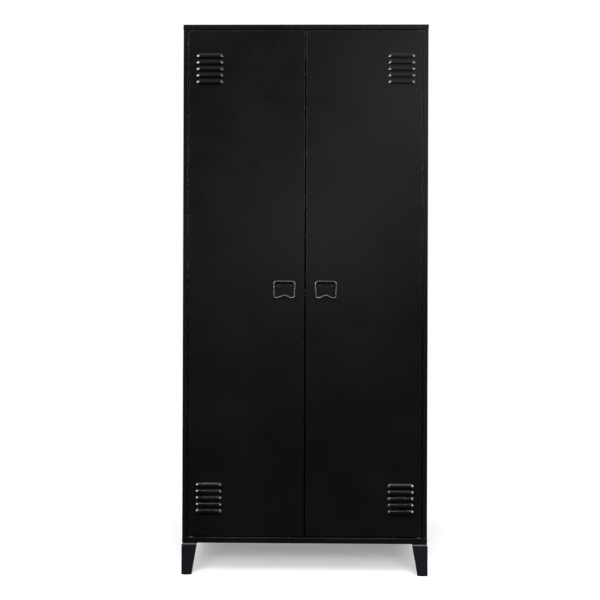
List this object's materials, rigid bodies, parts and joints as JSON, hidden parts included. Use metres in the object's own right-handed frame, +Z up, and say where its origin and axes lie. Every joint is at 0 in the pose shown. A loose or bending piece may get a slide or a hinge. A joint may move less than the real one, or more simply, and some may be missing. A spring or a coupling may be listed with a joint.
{
  "type": "two-door steel wardrobe locker",
  "caption": "Tall black steel wardrobe locker with hinged louvred doors, drop bail handles, tapered angle legs, a hat shelf and a hanging rail.",
  "frame": {"origin": "centre of the overall box in X and Y, on the floor plane", "axes": "+X to the right facing the doors, +Y towards the back, so the doors face -Y, +Z up"},
  "size_m": [0.804, 0.5092, 1.8],
  "materials": {
    "black_powder_coat": "satin black powder coat with a fine even texture",
    "handle_metal": "glossier black lacquer over steel wire and rolled plate",
    "black_fastener": "black coated screw steel",
    "zinc_steel": "bright zinc plate",
    "bright_tube": "chromed steel tube",
    "black_plastic": "moulded plastic, fine spark texture",
    "nylon": "black nylon, slightly waxy"
  },
  "bodies": {
    "cabinet": {"left_side_panel": "black_powder_coat", "right_side_panel": "black_powder_coat", "back_panel": "black_powder_coat", "lid": "black_powder_coat", "header_rail": "black_powder_coat", "bottom_panel": "black_powder_coat", "hat_shelf": "black_powder_coat", "shelf_clips": "black_powder_coat", "front_left_leg": "black_powder_coat", "front_right_leg": "black_powder_coat", "rear_left_leg": "black_powder_coat", "rear_right_leg": "black_powder_coat", "leg_bolts": "black_fastener", "leg_nuts": "zinc_steel", "foot_glides": "black_plastic", "hanging_rail": "bright_tube", "rail_sockets": "black_plastic", "rail_screws": "zinc_steel", "hinge_pins": "zinc_steel", "hinge_washers": "black_plastic", "catch_bodies": "black_plastic", "catch_poles": "zinc_steel", "catch_screws": "zinc_steel", "back_screws": "black_fastener", "lid_screws": "black_fastener", "base_screws": "zinc_steel"},
    "left_door": {"left_door_panel": "black_powder_coat", "left_door_stiffener": "black_powder_coat", "left_hinge_plates": "zinc_steel", "left_hinge_bushes": "nylon", "left_handle_barrel": "handle_metal", "left_handle_rivets": "handle_metal", "left_strike_plates": "zinc_steel", "left_strike_rivets": "zinc_steel"},
    "left_bail": {"left_bail": "handle_metal"},
    "right_door": {"right_door_panel": "black_powder_coat", "right_door_stiffener": "black_powder_coat", "right_hinge_plates": "zinc_steel", "right_hinge_bushes": "nylon", "right_handle_barrel": "handle_metal", "right_handle_rivets": "handle_metal", "right_strike_plates": "zinc_steel", "right_strike_rivets": "zinc_steel"},
    "right_bail": {"right_bail": "handle_metal"}
  },
  "joints": [
    {"name": "left_door_hinge", "type": "hinge", "parent": "cabinet", "child": "left_door", "pos_m": [-0.373, -0.2404, 0.956], "axis": [0, 0, -1], "range_deg": [0, 110]},
    {"name": "right_door_hinge", "type": "hinge", "parent": "cabinet", "child": "right_door", "pos_m": [0.373, -0.2404, 0.956], "axis": [0, 0, 1], "range_deg": [0, 110]},
    {"name": "left_bail_swing", "type": "hinge", "parent": "left_door", "child": "left_bail", "pos_m": [-0.068, -0.251, 0.96], "axis": [-1, 0, 0], "range_deg": [0, 170]},
    {"name": "right_bail_swing", "type": "hinge", "parent": "right_door", "child": "right_bail", "pos_m": [0.068, -0.251, 0.96], "axis": [-1, 0, 0], "range_deg": [0, 170]}
  ]
}
